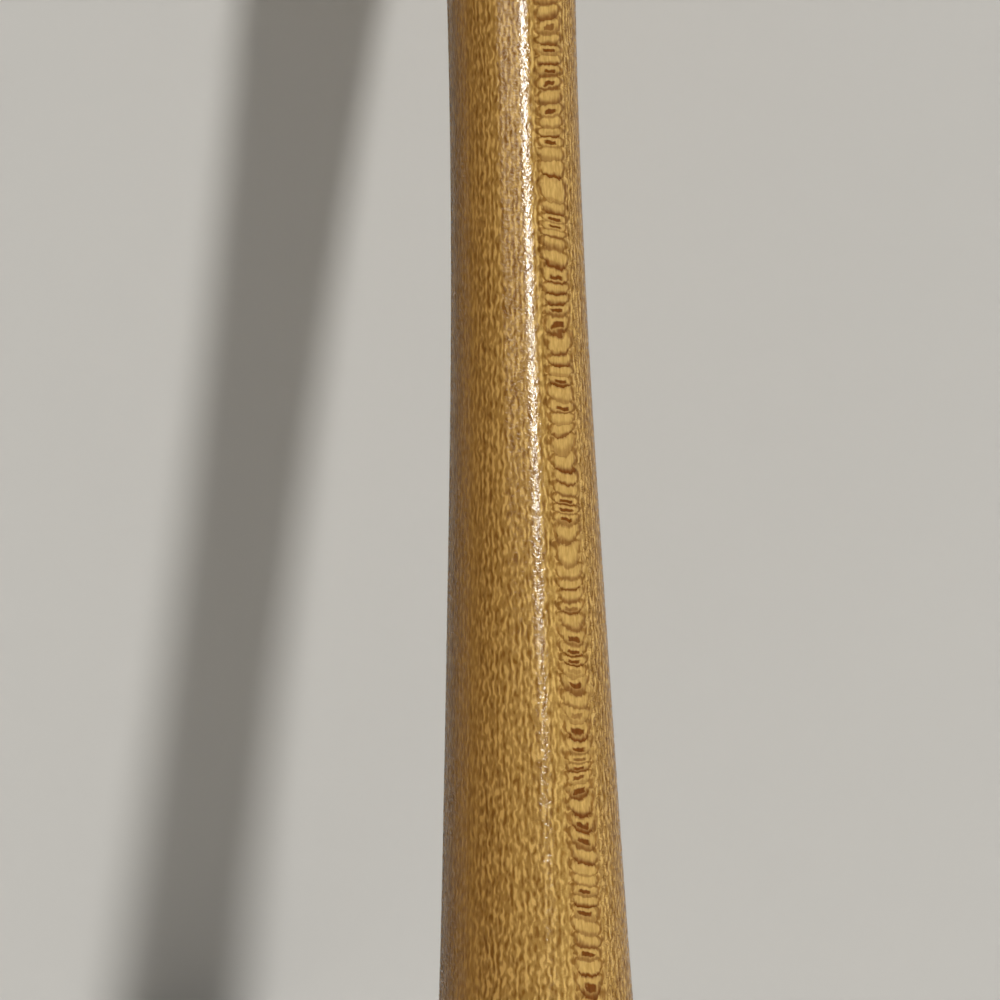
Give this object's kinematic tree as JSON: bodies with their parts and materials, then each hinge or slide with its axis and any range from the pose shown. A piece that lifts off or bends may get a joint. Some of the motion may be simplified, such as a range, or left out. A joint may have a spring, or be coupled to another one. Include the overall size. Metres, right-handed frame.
{
  "type": "soprano recorder",
  "caption": "Two-joint wooden soprano recorder: a flared body with finger and thumb holes, a corked tenon, and a head joint with a window, a windway, a beak and a removable block.",
  "frame": {"origin": "centre of the bell end's flat face, on the bore's axis", "axes": "+Z along the bore from the bell end to the mouthpiece; -Y is the front, with the window and finger holes; +Y is the back, with the thumb hole"},
  "size_m": [0.0308, 0.0308, 0.33],
  "materials": {
    "maple": "clear gloss lacquer over flecked maple",
    "cedar": "bare, smooth-planed red cedar",
    "cork": "sanded sheet cork, greased",
    "ring_brass": "turned and polished",
    "bush_resin": "ivory-coloured resin, polished"
  },
  "bodies": {
    "body": {"body_joint": "maple", "tenon_cork": "cork", "thumb_bush": "bush_resin"},
    "ring": {"socket_ring": "ring_brass"},
    "head": {"head_joint": "maple"},
    "block": {"block": "cedar"}
  },
  "joints": [
    {"name": "head_pull", "type": "slide", "parent": "body", "child": "ring", "axis": [0, 0, 1], "range_m": [0, 0.026]},
    {"name": "head_turn", "type": "hinge", "parent": "ring", "child": "head", "pos_m": [0, 0, 0.238], "axis": [0, 0, 1], "continuous": true},
    {"name": "block_slide", "type": "slide", "parent": "head", "child": "block", "axis": [0, 0, 1], "range_m": [0, 0.048]}
  ]
}
